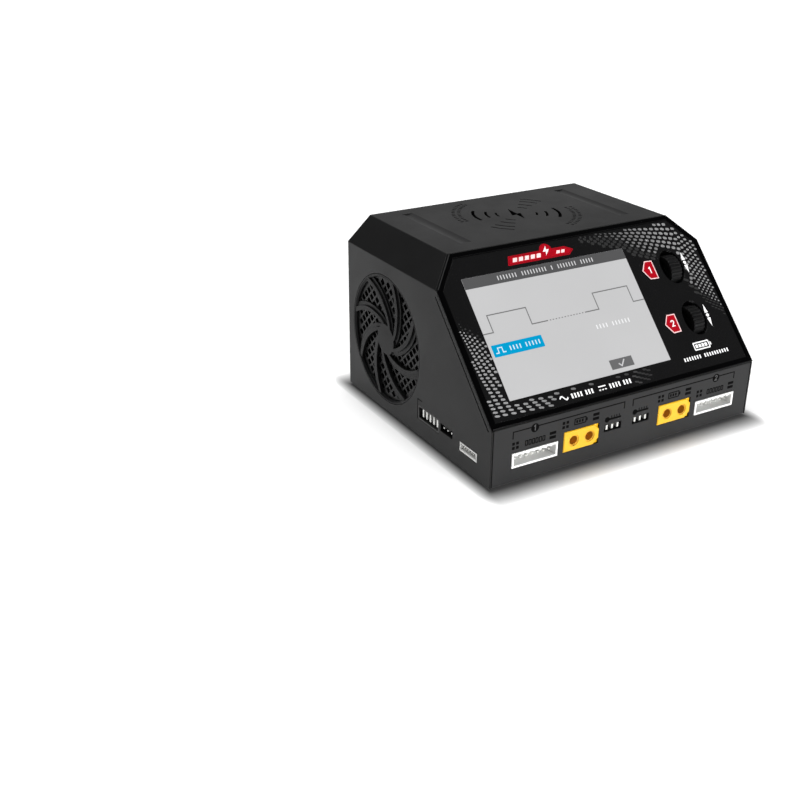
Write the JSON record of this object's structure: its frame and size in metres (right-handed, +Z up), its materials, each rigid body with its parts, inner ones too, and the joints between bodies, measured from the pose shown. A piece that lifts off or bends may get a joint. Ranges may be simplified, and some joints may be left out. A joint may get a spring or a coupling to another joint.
{
  "type": "balance charger",
  "caption": "Desktop two-channel battery balance charger with a sloped display fascia, thumb wheels, side fans behind spiral grilles and rows of sockets.",
  "frame": {"origin": "centre of the footprint, on the surface the feet stand on", "axes": "+X to the right seen from the front, +Y from the socket face to the back panel, +Z up; rest pose is wheels not pressed"},
  "size_m": [0.123, 0.1046, 0.0722],
  "materials": {
    "casing": "fine matte moulding, dark grey",
    "tray": "fine matte moulding, dark grey",
    "panel": "satin, near black",
    "rubber": "soft matte",
    "screw": "black oxide",
    "bezel": "gloss black",
    "overlay": "gloss black printed sheet",
    "screen": "lit display face",
    "lcd": "dull glass",
    "tray_metal": "folded sheet",
    "board_green": "lacquered circuit board",
    "standoff": "turned",
    "ribbon": "flexible film",
    "wheel": "ribbed satin black",
    "axle": "ground",
    "yoke": "natural moulding",
    "encoder": "moulded",
    "guard": "satin dark grey",
    "impeller": "satin black",
    "mesh": "satin dark grey",
    "fan_frame": "satin black",
    "copper": "enamelled copper wire",
    "white_nylon": "natural white nylon",
    "yellow_nylon": "yellow nylon",
    "gold": "gold plated",
    "black_nylon": "black nylon",
    "pin_metal": "plated",
    "chip": "moulded epoxy",
    "inductor": "pressed powder",
    "can": "sleeved can",
    "heatsink": "extruded",
    "ferrite": "sintered ferrite",
    "tape": "yellow tape",
    "lead": "soft insulation"
  },
  "bodies": {
    "housing": {"upper_casing": "casing", "base_tray": "tray", "rear_panel": "panel", "rubber_feet": "rubber", "casing_screws": "screw", "fascia_bezel": "bezel", "overlay_sheet": "overlay", "display_window": "screen", "display_panel": "lcd", "backlight_tray": "tray_metal", "display_board": "board_green", "display_standoffs": "standoff", "display_ribbon": "ribbon", "encoder_modules": "encoder", "left_fan_guard": "guard", "right_fan_guard": "guard", "dust_meshes": "mesh", "fan_frames": "fan_frame", "fan_stators": "copper", "fan_screws": "screw", "balance_socket_1": "white_nylon", "balance_socket_2": "white_nylon", "battery_contacts": "gold", "battery_socket_1": "yellow_nylon", "battery_socket_2": "yellow_nylon", "thermometer_headers": "black_nylon", "aux_socket": "black_nylon", "servo_header": "black_nylon", "sensor_socket": "white_nylon", "socket_pins": "pin_metal", "ac_inlet": "black_nylon", "ac_blades": "pin_metal", "dc_input": "yellow_nylon", "dc_contacts": "gold", "charger_board": "board_green", "board_screws": "screw", "board_chips": "chip", "power_inductors": "inductor", "board_capacitors": "can", "charger_heatsink": "heatsink", "buzzer": "encoder", "supply_board": "board_green", "supply_standoffs": "standoff", "transformer_core": "ferrite", "transformer_winding": "tape", "bulk_capacitors": "can", "filter_choke": "copper", "supply_heatsink": "heatsink", "inlet_leads": "lead"},
    "wheel_carrier_1": {"wheel_yoke_1": "yoke", "wheel_axle_1": "axle"},
    "wheel_1": {"thumb_wheel_1": "wheel"},
    "wheel_carrier_2": {"wheel_yoke_2": "yoke", "wheel_axle_2": "axle"},
    "wheel_2": {"thumb_wheel_2": "wheel"},
    "left_fan_rotor": {"left_fan_impeller": "impeller", "left_fan_shaft": "axle"},
    "right_fan_rotor": {"right_fan_impeller": "impeller", "right_fan_shaft": "axle"}
  },
  "joints": [
    {"name": "wheel_press_1", "type": "slide", "parent": "housing", "child": "wheel_carrier_1", "axis": [0, 0.7229, -0.691], "range_m": [0, 0.0006], "stiffness_N_per_m": 1500, "springref_m": -0.0004},
    {"name": "wheel_spin_1", "type": "hinge", "parent": "wheel_carrier_1", "child": "wheel_1", "pos_m": [0.0433, -0.01808, 0.05325], "axis": [1, 0, 0], "continuous": true},
    {"name": "wheel_press_2", "type": "slide", "parent": "housing", "child": "wheel_carrier_2", "axis": [0, 0.7229, -0.691], "range_m": [0, 0.0006], "stiffness_N_per_m": 1500, "springref_m": -0.0004},
    {"name": "wheel_spin_2", "type": "hinge", "parent": "wheel_carrier_2", "child": "wheel_2", "pos_m": [0.0431, -0.03349, 0.03713], "axis": [1, 0, 0], "continuous": true},
    {"name": "left_fan_spin", "type": "hinge", "parent": "housing", "child": "left_fan_rotor", "pos_m": [-0.05, 0.02206, 0.03107], "axis": [1, 0, 0], "continuous": true},
    {"name": "right_fan_spin", "type": "hinge", "parent": "housing", "child": "right_fan_rotor", "pos_m": [0.05, 0.02206, 0.03107], "axis": [1, 0, 0], "continuous": true}
  ]
}
